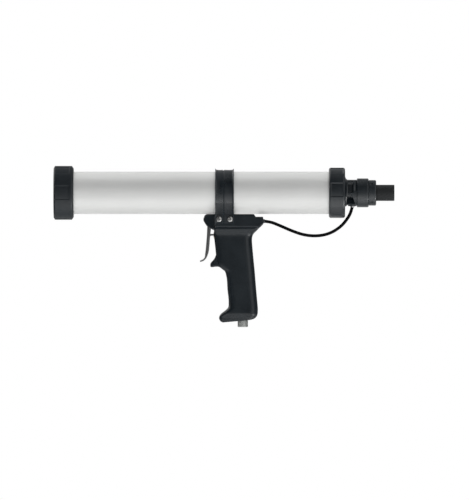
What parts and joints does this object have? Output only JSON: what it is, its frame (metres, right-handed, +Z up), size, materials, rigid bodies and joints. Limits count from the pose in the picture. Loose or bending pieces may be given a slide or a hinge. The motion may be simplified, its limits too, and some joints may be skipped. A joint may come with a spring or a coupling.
{
  "type": "caulking gun",
  "caption": "Air-powered caulking gun: metal barrel with screw-on front cap, rear pressure regulator with exhaust tube, strapped pistol grip with trigger valve, and an air hose.",
  "frame": {"origin": "on the barrel's axis at the front cap's front face", "axes": "+X runs along the barrel to the rear, +Z is up away from the grip, +Y completes a right-handed frame"},
  "size_m": [0.4343, 0.0686, 0.2054],
  "materials": {
    "barrel_metal": "satin drawn tube",
    "cap_plastic": "moulded, fine satin",
    "body_plastic": "moulded, fine satin",
    "knob_plastic": "moulded, fine satin",
    "tube_plastic": "extruded, satin",
    "strap_plastic": "moulded, satin sheen",
    "block_plastic": "moulded, fine grain",
    "grip_plastic": "moulded, fine grain",
    "hose_plastic": "smooth extruded",
    "piston_plastic": "natural moulded",
    "seal_rubber": "moulded",
    "trigger_steel": "pressed sheet, satin",
    "screw_steel": "plated",
    "inlet_metal": "turned and plated",
    "turned_metal": "turned",
    "spring_steel": "drawn wire",
    "brass": "turned",
    "porous_bronze": "sintered"
  },
  "bodies": {
    "gun_body": {"barrel_tube": "barrel_metal", "rear_nut": "cap_plastic", "regulator_body": "body_plastic", "barrel_seal": "seal_rubber", "poppet_plug": "brass", "retaining_ring": "knob_plastic", "silencer_tube": "tube_plastic", "silencer_core": "porous_bronze", "clamp_strap": "strap_plastic", "strap_screws": "screw_steel", "screw_inserts": "brass", "handle_block": "block_plastic", "block_screws": "screw_steel", "passage_seal": "seal_rubber", "grip": "grip_plastic", "inlet_adaptor": "inlet_metal", "inlet_seal": "seal_rubber", "inlet_filter": "porous_bronze", "trigger_pin": "screw_steel", "valve_gland": "brass", "gland_seal": "seal_rubber", "valve_seat": "brass", "air_hose": "hose_plastic", "handle_hose_collar": "knob_plastic", "body_hose_collar": "turned_metal", "poppet_spring": "spring_steel", "regulator_spring": "spring_steel", "valve_spring": "spring_steel"},
    "cap_carrier": {"nozzle_seal": "seal_rubber"},
    "front_cap": {"front_cap": "cap_plastic"},
    "piston": {"dispensing_piston": "piston_plastic", "piston_seal": "seal_rubber"},
    "trigger": {"trigger": "trigger_steel"},
    "valve_spindle": {"valve_spindle": "turned_metal", "valve_poppet": "brass"},
    "regulator_knob": {"regulator_knob": "knob_plastic"},
    "spring_plate": {"spring_plate": "brass"},
    "regulator_piston": {"regulator_piston": "turned_metal", "regulator_piston_seal": "seal_rubber"},
    "regulator_poppet": {"regulator_poppet": "piston_plastic"}
  },
  "joints": [
    {"name": "cap_travel", "type": "slide", "parent": "gun_body", "child": "cap_carrier", "axis": [-1, 0, 0], "range_m": [0, 0.0186]},
    {"name": "cap_spin", "type": "hinge", "parent": "cap_carrier", "child": "front_cap", "pos_m": [0, 0, 0], "axis": [-1, 0, 0], "range_deg": [0, 1080]},
    {"name": "piston_slide", "type": "slide", "parent": "gun_body", "child": "piston", "axis": [-1, 0, 0], "range_m": [0, 0.32]},
    {"name": "trigger_pivot", "type": "hinge", "parent": "gun_body", "child": "trigger", "pos_m": [0.198, 0, -0.04], "axis": [0, -1, 0], "range_deg": [0, 11]},
    {"name": "spindle_slide", "type": "slide", "parent": "gun_body", "child": "valve_spindle", "axis": [1, 0, 0], "range_m": [0, 0.00261], "stiffness_N_per_m": 1500, "springref_m": -0.003, "deforming": ["valve_spring"]},
    {"name": "knob_turn", "type": "hinge", "parent": "gun_body", "child": "regulator_knob", "pos_m": [0.394, 0, 0], "axis": [-1, 0, 0], "range_deg": [0, 450]},
    {"name": "plate_travel", "type": "slide", "parent": "gun_body", "child": "spring_plate", "axis": [-1, 0, 0], "range_m": [0, 0.0025], "deforming": ["regulator_spring"]},
    {"name": "regulator_stroke", "type": "slide", "parent": "gun_body", "child": "regulator_piston", "axis": [-1, 0, 0], "range_m": [0, 0.0012], "stiffness_N_per_m": 200, "springref_m": -0.002},
    {"name": "poppet_stroke", "type": "slide", "parent": "gun_body", "child": "regulator_poppet", "axis": [-1, 0, 0], "range_m": [0, 0.00125], "deforming": ["poppet_spring"]}
  ],
  "couplings": [
    {"joint": "cap_spin", "follows": "cap_travel", "rad_per_m": 1013.4},
    {"joint": "trigger_pivot", "follows": "spindle_slide", "rad_per_m": 73.529},
    {"joint": "knob_turn", "follows": "plate_travel", "rad_per_m": 3141.6},
    {"joint": "poppet_stroke", "follows": "regulator_stroke", "ratio": 1}
  ]
}
